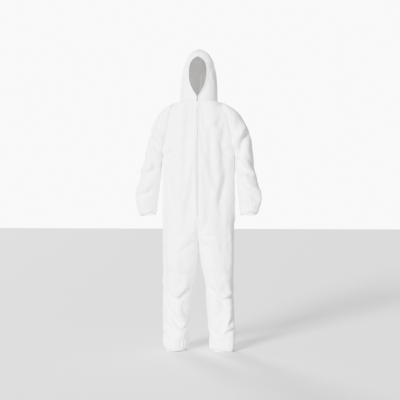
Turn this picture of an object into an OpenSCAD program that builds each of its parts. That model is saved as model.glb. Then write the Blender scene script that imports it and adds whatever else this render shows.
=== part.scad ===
// Hooded protective coverall, as it hangs on a wearer: front and back panels from the shoulders
// to the ankles, parted at the hips where the legs swing, set-in sleeves, a two-piece hood, a
// front zip, and elastic at the face, waist, wrists and ankles. The front looks along -Y. X = 0
// is the zip's plane and Z = 0 the plane of the ankle hems. "Left" is the wearer's left, on +X.

/* [Heights] */
// Top of the hood
hood_top = 1750; // [1730:5:1780]
// Neck seam, where the hood meets the body
neck_h = 1445; // [1440:1:1450]
// Lowest point of the armholes
armpit_h = 1140; // [1120:5:1160]
// Elastic at the back of the waist
waist_h = 1010; // [960:5:1060]
// Lower end of the zip
zip_low = 782; // [775:1:800]
// Crotch, where the leg seams meet
crotch_h = 632; // [620:1:640]
// Sleeve ends
wrist_h = 788; // [780:1:796]

/* [Widths] */
// Body at the armpits
chest_w = 416; // [410:2:424]
// Body at the waist
waist_w = 398; // [390:2:404]
// Body at the hips
hip_w = 412; // [408:2:420]
// Hood at the ears
hood_w = 218; // [210:2:222]
// Face opening at its widest
face_w = 111; // [100:1:116]
// Spacing of the ankles, centre to centre
ankle_gap = 268; // [262:2:272]
// Spacing of the wrists, centre to centre
wrist_gap = 580; // [572:2:588]

/* [Depths and openings] */
// Front of the body, from the shoulder line to the zip's cloth
front_d = 131; // [128:1:134]
// Back of the body at the shoulder blades
back_d = 138; // [134:1:142]
// Inner radius of the wrist hems
wrist_r = 36; // [34:1:38]
// Inner radius of the ankle hems
ankle_r = 52; // [50:1:54]

/* [Cloth and zip] */
// Thickness that stands for the cloth and the air in its small creases
cloth_t = 2.4; // [2:0.1:2.6]
// Half the width of the zip that shows between the folded front edges
zip_half = 6.5; // [6:0.5:8]
// Pull tab, from its pivot to its free end
pull_len = 28; // [22:1:32]

/* [Hidden] */

cloth_white = [0.96, 0.97, 0.98];
seam_white = [0.90, 0.91, 0.93];
elastic_white = [0.88, 0.88, 0.86];
tape_grey = [0.82, 0.86, 0.88];
coil_grey = [0.78, 0.83, 0.86];
slider_grey = [0.75, 0.77, 0.79];

seam_gap = 2.2;      // half the gap between two panels, where their seam lies
seam_half = 1.3;     // half the thickness of a sewn seam allowance
seam_out = 0.8;      // how far a seam's ridge stands outside the cloth
seam_in = 5;         // how far a seam allowance reaches inside the cloth
joint_gap = 3;       // gap between a moving sleeve or hood and the body
hip_skirt_h = 750;   // lower edge of the body panels, outside the tops of the legs
leg_top_h = 743;     // upper edge of the leg panels, inside the body panels
leg_split = 4;       // half the gap between the two legs' panels above the crotch
hem_h = 14;          // height of a turned-up hem
hem_wall = 1;        // thickness of the hem's cloth
hem_w = 4;           // thickness of the whole hem, from its inner to its outer face
face_hem_r = 2.6;    // radius of the rolled hem round the face
body_round = 2.4;    // superellipse power of the body's sections: 2 is an ellipse
limb_round = 2.15;   // the same, for the legs
hood_round = 2.2;    // the same, for the hood

mouth_h = neck_h + 9;           // lowest point of the face opening
brow_h = hood_top - 50;         // highest point of the face opening
shoulder_h = neck_h - 10;       // where the armhole meets the shoulder seam
shoulder_x = 150;               // the same place, from the centre
armhole_mid = (shoulder_h + armpit_h) / 2;
armhole_half = (shoulder_h - armpit_h) / 2;
armhole_turns = [for (k = [0:35]) 10 * k];

// ---- sections ------------------------------------------------------------------------------

// Linear look-up of every column of a table whose first column is the height
function row_at(table, z) =
    [for (k = [1:len(table[0]) - 1]) lookup(z, [for (r = table) [r[0], r[k]]])];

function signed_power(v, p) = sign(v) * pow(abs(v), p);

// Point of a superellipse: 0 degrees is the front, 90 the +X side and 180 the back
function oval(a, front, back, power, turn) = [
    a * signed_power(sin(turn), 2 / power),
    -(cos(turn) > 0 ? front : back) * signed_power(cos(turn), 2 / power)
];

// Turn at which an oval of half width a reaches x, and at which one of depth d comes to y
function turn_at_x(x, a, power) = asin(min(1, pow(max(0, x) / a, power / 2)));
function turn_at_y(y, d, power) = acos(min(1, pow(y / d, power / 2)));

// Body: height, half width, depth in front, depth behind
body_rows = [
    [hip_skirt_h, hip_w / 2, front_d - 2, 130],
    [zip_low - 5, hip_w / 2 - 1, front_d, 133],
    [860, waist_w / 2 + 4, front_d, 132],
    [940, waist_w / 2 + 1, front_d, 122],
    [waist_h, waist_w / 2, front_d, 114],
    [1080, waist_w / 2 + 5, front_d, 124],
    [armpit_h, chest_w / 2, front_d, 132],
    [1240, chest_w / 2 + 2, front_d, back_d],
    [1340, chest_w / 2 + 2, front_d, back_d - 3],
    [1385, chest_w / 2 + 6, front_d, 126],
    [1404, 203, front_d, 117],
    [1422, 175, front_d, 107],
    [shoulder_h, shoulder_x, front_d, 100],
    [neck_h - 4, 132, front_d, 94],
    [neck_h, hood_w / 2, front_d, 90]
];

function body_point(z, turn) =
    let (r = row_at(body_rows, z), p = oval(r[0], r[1], r[2], body_round, turn)) [p.x, p.y, z];

// The armhole lies in the plane of this line: its x at a height
function armhole_x(z) =
    lookup(z, [[armpit_h, chest_w / 2], [shoulder_h, shoulder_x]]);

// Outermost turn of a body panel at a height, with the depth on its own side
function body_edge(z, depth) =
    let (w = row_at(body_rows, z)[0])
    z > armpit_h - 2
        ? min(turn_at_x(armhole_x(z) - joint_gap, w, body_round),
              turn_at_y(seam_gap, depth, body_round))
        : turn_at_y(seam_gap, depth, body_round);

// The panels' rows meet the armhole at the same heights as the points of its seam
body_heights = concat(
    [for (z = [hip_skirt_h : 52 : armpit_h - 20]) z],
    [armpit_h - 3],
    [for (k = [0:18]) armhole_mid - armhole_half * cos(10 * k)],
    [neck_h - 6, neck_h - 2]
);

// Legs: height, centre from the middle, half width, depth
leg_rows = [
    [0, ankle_gap / 2, ankle_r + hem_w, ankle_r + hem_w],
    [hem_h + 1, ankle_gap / 2, ankle_r + hem_w, ankle_r + hem_w],
    [30, ankle_gap / 2 + 1, 66, 68],
    [55, ankle_gap / 2 + 2, 73, 78],
    [100, ankle_gap / 2 + 1, 76, 84],
    [180, 130, 75, 86],
    [283, 123, 80, 90],
    [382, 117, 83, 96],
    [527, 109, 95, 106],
    [600, 105, 98, 111],
    [crotch_h, 102, 100, 114],
    [660, 92, 110, 116],
    [700, 76, 125, 118],
    [leg_top_h, 64, 136, 119]
];

function leg_point(z, turn) =
    let (r = row_at(leg_rows, z), p = oval(r[1], r[2], r[2], limb_round, turn)) [r[0] + p.x, p.y, z];

// Inner turn of a leg panel: the inseam below the crotch, the middle of the body above it
function leg_inner(z) =
    let (r = row_at(leg_rows, z), seam = turn_at_y(seam_gap, r[2], limb_round))
    min(seam, turn_at_x(r[0] - leg_split, r[1], limb_round));

leg_heights = concat(
    [hem_h + 1, 22, 32, 44, 60, 80],
    [for (z = [110 : 58 : 590]) z],
    [612, crotch_h, 645, 660, 680, 700, 722, leg_top_h]
);

// Sleeve: outer edge and inner edge in the front view, and depth, from the armhole down
sleeve_rows = [
    [[shoulder_x, shoulder_h], [chest_w / 2, armpit_h], 84],
    [[203, 1404], [213, 1133], 88],
    [[243, 1366], [216, 1125], 84],
    [[274, 1322], [218, 1114], 80],
    [[299, 1262], [219, 1098], 76],
    [[314, 1190], [220, 1075], 73],
    [[325, 1120], [223, 1040], 70],
    [[338, 1045], [228, 1000], 69],
    [[352, 970], [234, 950], 67],
    [[361, 915], [239, 905], 65],
    [[361, 868], [242, 865], 62],
    [[352, 832], [244, 832], 54],
    [[338, 812], [247, 812], 45],
    [[wrist_gap / 2 + wrist_r + hem_w, wrist_h + hem_h + 1],
     [wrist_gap / 2 - wrist_r - hem_w, wrist_h + hem_h + 1], wrist_r + hem_w]
];

// Depth of the armhole at a height, in front (side -1) or behind (side 1)
function armhole_depth(z, side) =
    let (r = row_at(body_rows, z), share = min(1, armhole_x(z) / r[0]))
    (side < 0 ? r[1] : r[2]) * pow(1 - pow(share, body_round), 1 / body_round);

// Point of the sleeve's ring k: 0 degrees is the outer edge, 90 the front, 180 the underarm
function sleeve_point(k, turn, start = 0) =
    let (r = sleeve_rows[k],
         p = (r[0] + r[1]) / 2 + (r[0] - r[1]) / 2 * cos(turn),
         side = -sign(sin(turn)),
         own = min(1, k / 3),
         hole = armhole_depth(armhole_mid + armhole_half * cos(turn), side),
         deep = own * r[2] * abs(sin(turn)) + (1 - own) * hole)
    [p.x + start, side * deep, p.y];

// Hood: height, half width, front and back
hood_rows = [
    [neck_h, hood_w / 2, -front_d + 2, 88],
    [1480, hood_w / 2, -126, 98],
    [1520, hood_w / 2 - 1, -121, 112],
    [1560, hood_w / 2 - 4, -117, 122],
    [1600, hood_w / 2 - 9, -113, 128],
    [1640, hood_w / 2 - 17, -108, 128],
    [1666, hood_w / 2 - 22, -102, 123],
    [1685, hood_w / 2 - 29, -95, 116],
    [1703, hood_w / 2 - 40, -85, 105],
    [1720, hood_w / 2 - 52, -70, 88],
    [1735, hood_w / 2 - 70, -48, 66],
    [1744, 22, -26, 42],
    [hood_top - 0.5, 5, -4, 16]
];

// Face opening: height and half width, an almond with its point at the zip
face_rows = [
    [mouth_h - 3, 3], [mouth_h + 5, 6], [1480, 19], [1509, face_w * 0.30], [1538, face_w * 0.41],
    [1567, face_w * 0.477], [1600, face_w / 2], [1628, face_w * 0.49], [1654, face_w * 0.45],
    [1672, face_w * 0.37], [1687, face_w * 0.25], [brow_h - 3, face_w * 0.11], [brow_h, 0]
];

function hood_point(z, turn) =
    let (r = row_at(hood_rows, z), mid = (r[1] + r[2]) / 2, half = (r[2] - r[1]) / 2,
         p = oval(r[0], half, half, hood_round, turn))
    [p.x, mid + p.y, z];

// Half width that the hood panels leave open for the face and the rolled hem round it
function face_gap(z) =
    let (mid = (mouth_h + brow_h) / 2,
         half = (brow_h - mouth_h) / 2,
         share = (z - mid) / (half + face_hem_r + 3))
    abs(share) > 1 ? seam_gap : row_at(face_rows, mid + half * share)[0] + face_hem_r + 2.4;

// Turn of the hood panel's front edge, which follows the face opening or the centre seam
function hood_front(z) = turn_at_x(face_gap(z), row_at(hood_rows, z)[0], hood_round);

hood_heights = [for (k = [0:17]) neck_h + 7 + (hood_top - neck_h - 7.5) * sin(90 * k / 17)];

// ---- solids from grids of points -----------------------------------------------------------

function clamp_index(i, n) = min(max(i, 0), n - 1);

function unit(v) = v / max(norm(v), 1e-9);

// Outward direction of a grid at row r and column c: across the rows and then the columns
function grid_normal(g, r, c) =
    let (up = g[clamp_index(r + 1, len(g))][c] - g[clamp_index(r - 1, len(g))][c],
         along = g[r][clamp_index(c + 1, len(g[r]))] - g[r][clamp_index(c - 1, len(g[r]))])
    unit(cross(up, along));

function inset(g, t) =
    [for (r = [0:len(g) - 1]) [for (c = [0:len(g[r]) - 1]) g[r][c] - t * grid_normal(g, r, c)]];

// Closed solid between an outer and an inner grid; with wrap the last row meets the first
module slab(outer, inner, wrap = false) {
    rows = len(outer);
    cols = len(outer[0]);
    last = cols - 1;
    steps = wrap ? rows - 1 : rows - 2;
    function o(r, c) = (r % rows) * cols + c;
    function i(r, c) = rows * cols + o(r, c);
    function quad(a, b, c, d) = [[a, b, c], [a, c, d]];
    skins = [for (r = [0:steps], c = [0:last - 1]) each concat(
        quad(o(r, c), o(r, c + 1), o(r + 1, c + 1), o(r + 1, c)),
        quad(i(r, c), i(r + 1, c), i(r + 1, c + 1), i(r, c + 1)))];
    sides = [for (r = [0:steps]) each concat(
        quad(o(r, 0), o(r + 1, 0), i(r + 1, 0), i(r, 0)),
        quad(o(r + 1, last), o(r, last), i(r, last), i(r + 1, last)))];
    ends = wrap ? [] : [for (c = [0:last - 1]) each concat(
        quad(o(0, c + 1), o(0, c), i(0, c), i(0, c + 1)),
        quad(o(rows - 1, c), o(rows - 1, c + 1), i(rows - 1, c + 1), i(rows - 1, c)))];
    polyhedron(concat([for (r = outer) each r], [for (r = inner) each r]),
               concat(skins, sides, ends));
}

module cloth(grid) {
    color(cloth_white) slab(grid, inset(grid, cloth_t));
}

// Seam allowance along a path: outs point out of the cloth, acrosses lie across the seam
module seam(path, outs, acrosses, wrap = false) {
    steps = [0:len(path) - 1];
    function edges(depth) = [for (k = steps)
        [for (s = [1, -1]) path[k] + depth * outs[k] + s * seam_half * acrosses[k]]];
    color(seam_white) slab(edges(seam_out), edges(-seam_in), wrap);
}

// Round bar along an open path that lies roughly across Y
module bar(path, r, sides = 8) {
    last = len(path) - 1;
    rings = [for (k = [0:last])
        let (t = unit(path[min(k + 1, last)] - path[max(k - 1, 0)]),
             u = unit(cross(t, [0, 1, 0])),
             v = cross(u, t))
        [for (a = [0:sides - 1]) path[k] + r * (cos(360 * a / sides) * u + sin(360 * a / sides) * v)]];
    walls = [for (k = [0:last - 1], a = [0:sides - 1])
        let (b = (a + 1) % sides)
        each [[k * sides + a, k * sides + b, (k + 1) * sides + b],
              [k * sides + a, (k + 1) * sides + b, (k + 1) * sides + a]]];
    caps = [[for (a = [sides - 1:-1:0]) a], [for (a = [0:sides - 1]) last * sides + a]];
    polyhedron([for (ring = rings) each ring], concat(walls, caps));
}

function even(from, to, n) = [for (k = [0:n]) from + (to - from) * k / n];

// ---- body panels and seams -----------------------------------------------------------------

module front_panel() {
    cloth([for (z = body_heights)
        let (r = row_at(body_rows, z),
             inner_x = z > zip_low - 4 ? zip_half : leg_split,
             inner_turn = turn_at_x(inner_x, r[0], body_round))
        [for (turn = even(body_edge(z, r[1]), inner_turn, 9)) body_point(z, turn)]]);
}

module back_panel() {
    cloth([for (z = body_heights)
        let (r = row_at(body_rows, z))
        [for (turn = even(180 - turn_at_x(seam_gap, r[0], body_round), 180 - body_edge(z, r[2]), 9))
            body_point(z, turn)]]);
}

module side_seam() {
    heights = [for (z = body_heights) if (z < armpit_h - 8) z];
    seam([for (z = heights) body_point(z, 90)], [for (z = heights) [1, 0, 0]],
         [for (z = heights) [0, -1, 0]]);
}

module shoulder_seam() {
    heights = even(shoulder_h + 1, neck_h - 2, 5);
    ridge = [for (z = heights) body_point(z, 90)];
    slope = unit(ridge[0] - ridge[5]);
    out = [-slope.z, 0, slope.x];
    seam(ridge, [for (z = heights) out], [for (z = heights) [0, -1, 0]]);
}

module armhole_seam() {
    chord = unit([shoulder_x - chest_w / 2, 0, shoulder_h - armpit_h]);
    across = [chord.z, 0, -chord.x];
    middle = [(shoulder_x + chest_w / 2) / 2, 0, (shoulder_h + armpit_h) / 2];
    ring = [for (t = armhole_turns) sleeve_point(0, t)];
    seam(ring, [for (p = ring) unit([0, p.y, 0] * 1.5 + chord * ((p - middle) * chord))],
         [for (p = ring) across], wrap = true);
}

module neck_seam() {
    start = turn_at_x(zip_half, hood_w / 2, body_round);
    turns = even(360 - start, start, 48);
    ring = [for (t = turns)
        let (p = oval(hood_w / 2, front_d, 90, body_round, t)) [p.x, p.y, neck_h + 1.5]];
    seam(ring, [for (p = ring) unit([p.x, p.y, 0])], [for (p = ring) [0, 0, -1]]);
}

module centre_back_seam() {
    heights = [for (z = body_heights) if (z > hip_skirt_h) z];
    seam([for (z = heights) body_point(z, 180)], [for (z = heights) [0, 1, 0]],
         [for (z = heights) [1, 0, 0]]);
}

// Depth of the legs' inner edges above the crotch, where the left and right panels meet
function rise_depth(z) = abs(leg_point(z, leg_inner(z)).y);

module crotch_seam() {
    heights = [zip_low - 8, hip_skirt_h, 735, 715, 690, 670, 655, 644];
    front = [for (z = heights) [0, z > leg_top_h ? -front_d + 2 : -rise_depth(z), z]];
    back = [for (k = [len(heights) - 1:-1:2]) [0, rise_depth(heights[k]), heights[k]]];
    path = concat(front, [[0, 0, crotch_h + 4]], back);
    last = len(path) - 1;
    outs = [for (k = [0:last])
        let (t = unit(path[min(k + 1, last)] - path[max(k - 1, 0)])) [0, t.z, -t.y]];
    seam(path, outs, [for (p = path) [1, 0, 0]]);
}

// Elastic glued inside the back of the waist, clear of the seams' allowances
module waist_elastic() {
    inside = seam_in + 0.8;
    rows = [for (z = [waist_h - 10, waist_h, waist_h + 10])
        let (r = row_at(body_rows, z))
        [for (turn = even(265, 95, 28))
            let (p = oval(r[0] - inside, r[1] - inside, r[2] - inside, body_round, turn)) [p.x, p.y, z]]];
    color(elastic_white) slab(rows, inset(rows, 1.2));
}

// ---- hood ----------------------------------------------------------------------------------

module hood_panel() {
    cloth([for (z = hood_heights)
        let (w = row_at(hood_rows, z)[0])
        [for (turn = even(180 - turn_at_x(seam_gap, w, hood_round), hood_front(z), 12))
            hood_point(z, turn)]]);
}

// Seam over the middle of the hood, from the face opening to the nape
module hood_centre_seam() {
    over = [for (z = hood_heights) if (z > brow_h + 8) hood_point(z, 0)];
    behind = [for (k = [len(hood_heights) - 1:-1:0]) hood_point(hood_heights[k], 180)];
    path = concat(over, behind);
    last = len(path) - 1;
    outs = [for (k = [0:last])
        let (t = unit(path[min(k + 1, last)] - path[max(k - 1, 0)])) [0, -t.z, t.y]];
    seam(path, outs, [for (p = path) [-1, 0, 0]]);
}

module face_elastic_hem() {
    heights = [for (k = [0:13]) mouth_h + (brow_h - mouth_h) * sin(90 * k / 13)];
    left = [for (z = heights)
        let (w = row_at(hood_rows, z)[0]) hood_point(z, turn_at_x(row_at(face_rows, z)[0], w, hood_round))];
    right = [for (k = [len(left) - 2:-1:0]) [-left[k].x, left[k].y, left[k].z]];
    inward = [0, face_hem_r + 0.5, 0];
    color(elastic_white) bar([for (p = concat(left, right)) p + inward], face_hem_r);
}

// ---- sleeves -------------------------------------------------------------------------------

sleeve_start = 180 + 2;   // the sleeve's cloth starts and ends either side of the underarm seam

module sleeve() {
    rings = len(sleeve_rows) - 1;
    cloth([for (turn = even(sleeve_start, 540 - (sleeve_start - 180), 26))
        [for (k = [0:rings]) sleeve_point(k, turn, k == 0 ? joint_gap : k == 1 ? joint_gap / 2 : 0)]]);
}

module underarm_seam() {
    rings = [1:len(sleeve_rows) - 1];
    inward = [seam_out + cloth_t / 2, 0, 0];
    path = [for (k = rings) sleeve_point(k, 180) + inward];
    seam(path, [for (p = path) [-1, 0, 0]], [for (p = path) [0, 0.8, 0]]);
}

// ---- hems and their elastic ----------------------------------------------------------------

// A turned-up hem: two walls with the elastic's channel between them, open at the top
module hem(inner_r) {
    outer_r = inner_r + hem_w;
    color(cloth_white) rotate_extrude($fn = 96) polygon([
        [inner_r, 0], [outer_r, 0], [outer_r, hem_h], [outer_r - hem_wall, hem_h],
        [outer_r - hem_wall, hem_wall], [inner_r + hem_wall, hem_wall],
        [inner_r + hem_wall, hem_h], [inner_r, hem_h]
    ]);
}

module hem_elastic(inner_r) {
    room = 0.3;
    color(elastic_white) translate([0, 0, hem_wall + room]) difference() {
        cylinder(h = hem_h - 5, r = inner_r + hem_w - hem_wall - room, $fn = 96);
        translate([0, 0, -1]) cylinder(h = hem_h, r = inner_r + hem_wall + room, $fn = 96);
    }
}

module wrist_hem() {
    translate([wrist_gap / 2, 0, wrist_h]) hem(wrist_r);
}

module wrist_elastic() {
    translate([wrist_gap / 2, 0, wrist_h]) hem_elastic(wrist_r);
}

module ankle_hem() {
    translate([ankle_gap / 2, 0, 0]) hem(ankle_r);
}

module ankle_elastic() {
    translate([ankle_gap / 2, 0, 0]) hem_elastic(ankle_r);
}

// ---- legs ----------------------------------------------------------------------------------

module leg_front() {
    cloth([for (z = leg_heights)
        let (outer_turn = turn_at_y(seam_gap, row_at(leg_rows, z)[2], limb_round))
        [for (turn = even(outer_turn, -leg_inner(z), 11)) leg_point(z, turn)]]);
}

module leg_back() {
    cloth([for (z = leg_heights)
        let (outer_turn = turn_at_y(seam_gap, row_at(leg_rows, z)[2], limb_round))
        [for (turn = even(180 + leg_inner(z), 180 - outer_turn, 11)) leg_point(z, turn)]]);
}

module outseam() {
    seam([for (z = leg_heights) leg_point(z, 90)], [for (z = leg_heights) [1, 0, 0]],
         [for (z = leg_heights) [0, -1, 0]]);
}

module inseam() {
    heights = [for (z = leg_heights) if (z < crotch_h) z];
    seam([for (z = heights) leg_point(z, -90)], [for (z = heights) [-1, 0, 0]],
         [for (z = heights) [0, 1, 0]]);
}

// ---- zip -----------------------------------------------------------------------------------

tape_t = 0.6;
coil_w = 2.3;
coil_t = 3.8;
zip_split = 0.7;                        // half the gap between the two coils
coil_front = -front_d + 0.1;            // the coil's front lies level with the cloth
tape_front = coil_front + coil_t;
zip_top = neck_h - 3;
slider_h = neck_h - 16;                 // middle of the slider when the zip is closed
plate_t = 1.1;
plate_gap = 0.3;
plate_front = coil_front - plate_gap;   // rear face of the slider's front plate
plate_rear = tape_front + tape_t + plate_gap + 0.4;
pivot_y = plate_front - plate_t - 0.75; // axis of the pull's crossbar
crossbar_r = 0.45;

module zip_tape() {
    color(tape_grey) translate([zip_split, tape_front, zip_low - 6])
        cube([13 - zip_split, tape_t, zip_top - zip_low + 6]);
}

module zip_coil() {
    color(coil_grey) translate([zip_split, coil_front, zip_low])
        cube([coil_w, coil_t, zip_top - 8 - zip_low]);
}

module zip_top_stops() {
    color(coil_grey) for (side = [0, 1]) mirror([side, 0, 0])
        translate([zip_split, coil_front, zip_top - 7]) cube([coil_w + 0.6, coil_t, 4]);
}

module zip_bottom_stop() {
    color(coil_grey) translate([-coil_w - 1, coil_front, zip_low - 5]) cube([2 * coil_w + 2, coil_t, 4.6]);
}

// Plate of the slider: a shield, widest near its top, where the two coils come in
module slider_plate(thickness) {
    half = [[0, -5.5], [3.6, -5.5], [4.2, -1], [5.2, 3.5], [3.4, 5.5], [0, 5.5]];
    rotate([90, 0, 0]) linear_extrude(thickness) {
        polygon(half);
        mirror([1, 0]) polygon(half);
    }
}

module zip_slider() {
    bridge_y = plate_front - plate_t;
    color(slider_grey) translate([0, 0, slider_h]) {
        difference() {
            union() {
                translate([0, plate_front, 0]) slider_plate(plate_t);
                translate([0, plate_rear + plate_t, 0]) slider_plate(plate_t);
                translate([-zip_split + 0.3, plate_front - 0.2, 1])
                    cube([2 * (zip_split - 0.3), plate_rear - plate_front + 0.4, 3]);
                for (side = [0, 1]) mirror([side, 0, 0])
                    translate([3.5, plate_front - 0.2, -4.5]) cube([0.6, 1.6, 7]);
                translate([-1.1, bridge_y - 2.6, -4]) cube([2.2, 2.8, 8]);
            }
            translate([-2, bridge_y - 1.5, -2.6]) cube([4, 1.5, 5.2]);
        }
    }
}

module zip_pull() {
    color(slider_grey) translate([0, pivot_y, slider_h]) {
        translate([-3, 0, 0]) rotate([0, 90, 0]) cylinder(h = 6, r = crossbar_r, $fn = 24);
        for (side = [0, 1]) mirror([side, 0, 0])
            translate([1.6, -crossbar_r, -8]) cube([1.5, 2 * crossbar_r, 8.4]);
        translate([0, crossbar_r, 0]) rotate([90, 0, 0]) linear_extrude(2 * crossbar_r) {
            translate([-3.6, -pull_len + 3.6]) square([7.2, pull_len - 11]);
            translate([0, -pull_len + 3.6]) circle(r = 3.6, $fn = 48);
        }
    }
}

// ---- nodes ---------------------------------------------------------------------------------

front_panel();  // left_front_panel
mirror([1, 0, 0]) front_panel();  // right_front_panel
back_panel();  // left_back_panel
mirror([1, 0, 0]) back_panel();  // right_back_panel
shoulder_seam();  // left_shoulder_seam
mirror([1, 0, 0]) shoulder_seam();  // right_shoulder_seam
side_seam();  // left_side_seam
mirror([1, 0, 0]) side_seam();  // right_side_seam
armhole_seam();  // left_armhole_seam
mirror([1, 0, 0]) armhole_seam();  // right_armhole_seam
neck_seam();
centre_back_seam();
crotch_seam();
waist_elastic();
zip_tape();  // zip_tape_left
mirror([1, 0, 0]) zip_tape();  // zip_tape_right
zip_coil();  // zip_coil_left
mirror([1, 0, 0]) zip_coil();  // zip_coil_right
zip_top_stops();
zip_bottom_stop();
zip_slider();
zip_pull();
hood_panel();  // hood_left_panel
mirror([1, 0, 0]) hood_panel();  // hood_right_panel
hood_centre_seam();
face_elastic_hem();
sleeve();  // left_sleeve
mirror([1, 0, 0]) sleeve();  // right_sleeve
underarm_seam();  // left_underarm_seam
mirror([1, 0, 0]) underarm_seam();  // right_underarm_seam
wrist_hem();  // left_wrist_hem
mirror([1, 0, 0]) wrist_hem();  // right_wrist_hem
wrist_elastic();  // left_wrist_elastic
mirror([1, 0, 0]) wrist_elastic();  // right_wrist_elastic
leg_front();  // left_leg_front
mirror([1, 0, 0]) leg_front();  // right_leg_front
leg_back();  // left_leg_back
mirror([1, 0, 0]) leg_back();  // right_leg_back
inseam();  // left_inseam
mirror([1, 0, 0]) inseam();  // right_inseam
outseam();  // left_outseam
mirror([1, 0, 0]) outseam();  // right_outseam
ankle_hem();  // left_ankle_hem
mirror([1, 0, 0]) ankle_hem();  // right_ankle_hem
ankle_elastic();  // left_ankle_elastic
mirror([1, 0, 0]) ankle_elastic();  // right_ankle_elastic
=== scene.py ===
import math

import bpy
import numpy as np
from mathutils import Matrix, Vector, noise


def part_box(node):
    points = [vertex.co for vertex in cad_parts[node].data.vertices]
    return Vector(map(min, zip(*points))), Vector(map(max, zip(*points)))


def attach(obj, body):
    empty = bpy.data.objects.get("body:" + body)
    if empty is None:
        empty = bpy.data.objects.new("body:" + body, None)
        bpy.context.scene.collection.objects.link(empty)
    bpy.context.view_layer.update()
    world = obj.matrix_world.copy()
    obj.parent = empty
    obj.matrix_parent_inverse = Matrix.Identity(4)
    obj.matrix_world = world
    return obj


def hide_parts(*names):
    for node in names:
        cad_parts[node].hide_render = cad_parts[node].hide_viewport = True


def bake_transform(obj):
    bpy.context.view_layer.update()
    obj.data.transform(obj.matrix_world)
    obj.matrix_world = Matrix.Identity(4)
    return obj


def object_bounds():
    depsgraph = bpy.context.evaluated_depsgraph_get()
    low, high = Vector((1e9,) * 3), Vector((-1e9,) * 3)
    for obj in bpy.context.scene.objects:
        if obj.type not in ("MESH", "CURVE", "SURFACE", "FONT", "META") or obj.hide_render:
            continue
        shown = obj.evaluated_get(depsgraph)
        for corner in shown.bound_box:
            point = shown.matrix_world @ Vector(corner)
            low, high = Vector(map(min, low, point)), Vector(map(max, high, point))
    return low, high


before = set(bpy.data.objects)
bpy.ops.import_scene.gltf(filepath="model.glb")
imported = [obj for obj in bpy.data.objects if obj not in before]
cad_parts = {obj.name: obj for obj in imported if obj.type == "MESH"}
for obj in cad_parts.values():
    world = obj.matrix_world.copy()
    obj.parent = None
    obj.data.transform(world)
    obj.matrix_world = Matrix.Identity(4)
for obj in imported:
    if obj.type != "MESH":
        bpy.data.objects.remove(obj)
cad_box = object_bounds()

# A hooded coverall of white nonwoven cloth. Its whole surface is lofted as one mesh on the shape
# that the CAD holds, creased by a cloth simulation, and then cut along its seams into panels.
# The grids are laid out in millimetres, from tables of sizes. Meshes are in metres. "Height" is up
# from the floor, x is towards the wearer's left, and the front faces -y.

MM = 0.001
SIDES = (("left", 1), ("right", -1))
CLOTH_T = 0.0007          # thickness given to the cloth


# ---- sizes from the frame ------------------------------------------------------------------

def box_of(node):
    """Lowest and highest corner of a CAD node, in millimetres."""
    low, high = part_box(node)
    return np.array(low) / MM, np.array(high) / MM


NECK_H = float(box_of("neck_seam")[0][2] + box_of("neck_seam")[1][2]) / 2
ZIP_LOW = float(box_of("zip_coil_left")[0][2])
COIL_FRONT = float(box_of("zip_coil_left")[0][1])
HEM_H = float(box_of("left_ankle_hem")[1][2])
ANKLE_X = float(box_of("left_ankle_hem")[0][0] + box_of("left_ankle_hem")[1][0]) / 2
ANKLE_R = float(box_of("left_ankle_hem")[1][0] - box_of("left_ankle_hem")[0][0]) / 2
WRIST_X = float(box_of("left_wrist_hem")[0][0] + box_of("left_wrist_hem")[1][0]) / 2
WRIST_R = float(box_of("left_wrist_hem")[1][0] - box_of("left_wrist_hem")[0][0]) / 2
WRIST_TOP = float(box_of("left_wrist_hem")[1][2])

ZIP_HALF = 6.5            # half the gap between the folded edges beside the zip
FRONT_D = 131             # front of the body, from the shoulder line
CROTCH_H = 632            # height where the legs part
WAIST_H = 1010            # height of the elastic at the back
ARMPIT = (208, 1140)      # x and height of the armhole's lowest point
SHOULDER = (150, 1435)    # the same for its highest point
armhole_mid = (SHOULDER[1] + ARMPIT[1]) / 2
armhole_half = (SHOULDER[1] - ARMPIT[1]) / 2
HOOD_HALF = 109           # half width of the neck seam
NECK_BACK = 89            # depth of the neck seam behind the shoulder line
BODY_ROUND = 2.4          # superellipse powers
LEG_ROUND = 2.15
HOOD_ROUND = 2.2

# Body: height, half width, depth behind
BODY_ROWS = [
    [750, 206, 130], [777, 205, 133], [860, 203, 132], [940, 200, 122], [1010, 199, 114],
    [1080, 204, 124], [1140, 208, 132], [1240, 210, 138], [1340, 210, 135], [1385, 214, 126],
    [1404, 203, 117], [1422, 175, 107], [1435, 150, 100], [1441, 132, 94], [1445, 109, 90],
]

# Legs: height, centre from the middle, half width, depth
LEG_ROWS = [
    [0, ANKLE_X, ANKLE_R, ANKLE_R], [HEM_H + 1, ANKLE_X, ANKLE_R, ANKLE_R], [22, 135, 66, 67],
    [40, 136, 73, 77], [100, 135, 76, 84], [180, 130, 75, 86], [283, 123, 80, 90],
    [382, 117, 83, 96], [527, 109, 95, 106], [600, 105, 98, 111], [632, 102, 100, 114],
    [660, 92, 110, 116], [700, 76, 125, 118], [743, 64, 136, 119],
]

# Sleeve rings from the armhole down: outer edge, inner edge and depth
SLEEVE_ROWS = [
    [SHOULDER, ARMPIT, 84], [(203, 1404), (213, 1133), 88], [(243, 1366), (216, 1125), 84],
    [(274, 1322), (218, 1114), 80], [(299, 1262), (219, 1098), 76], [(314, 1190), (220, 1075), 73],
    [(325, 1120), (223, 1040), 70], [(338, 1045), (228, 1000), 69], [(352, 970), (234, 950), 67],
    [(361, 915), (239, 905), 65], [(361, 868), (242, 865), 62], [(352, 832), (244, 832), 54],
    [(343, 812), (245, 812), 49],
    [(WRIST_X + WRIST_R, WRIST_TOP + 1), (WRIST_X - WRIST_R, WRIST_TOP + 1), WRIST_R],
]

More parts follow.
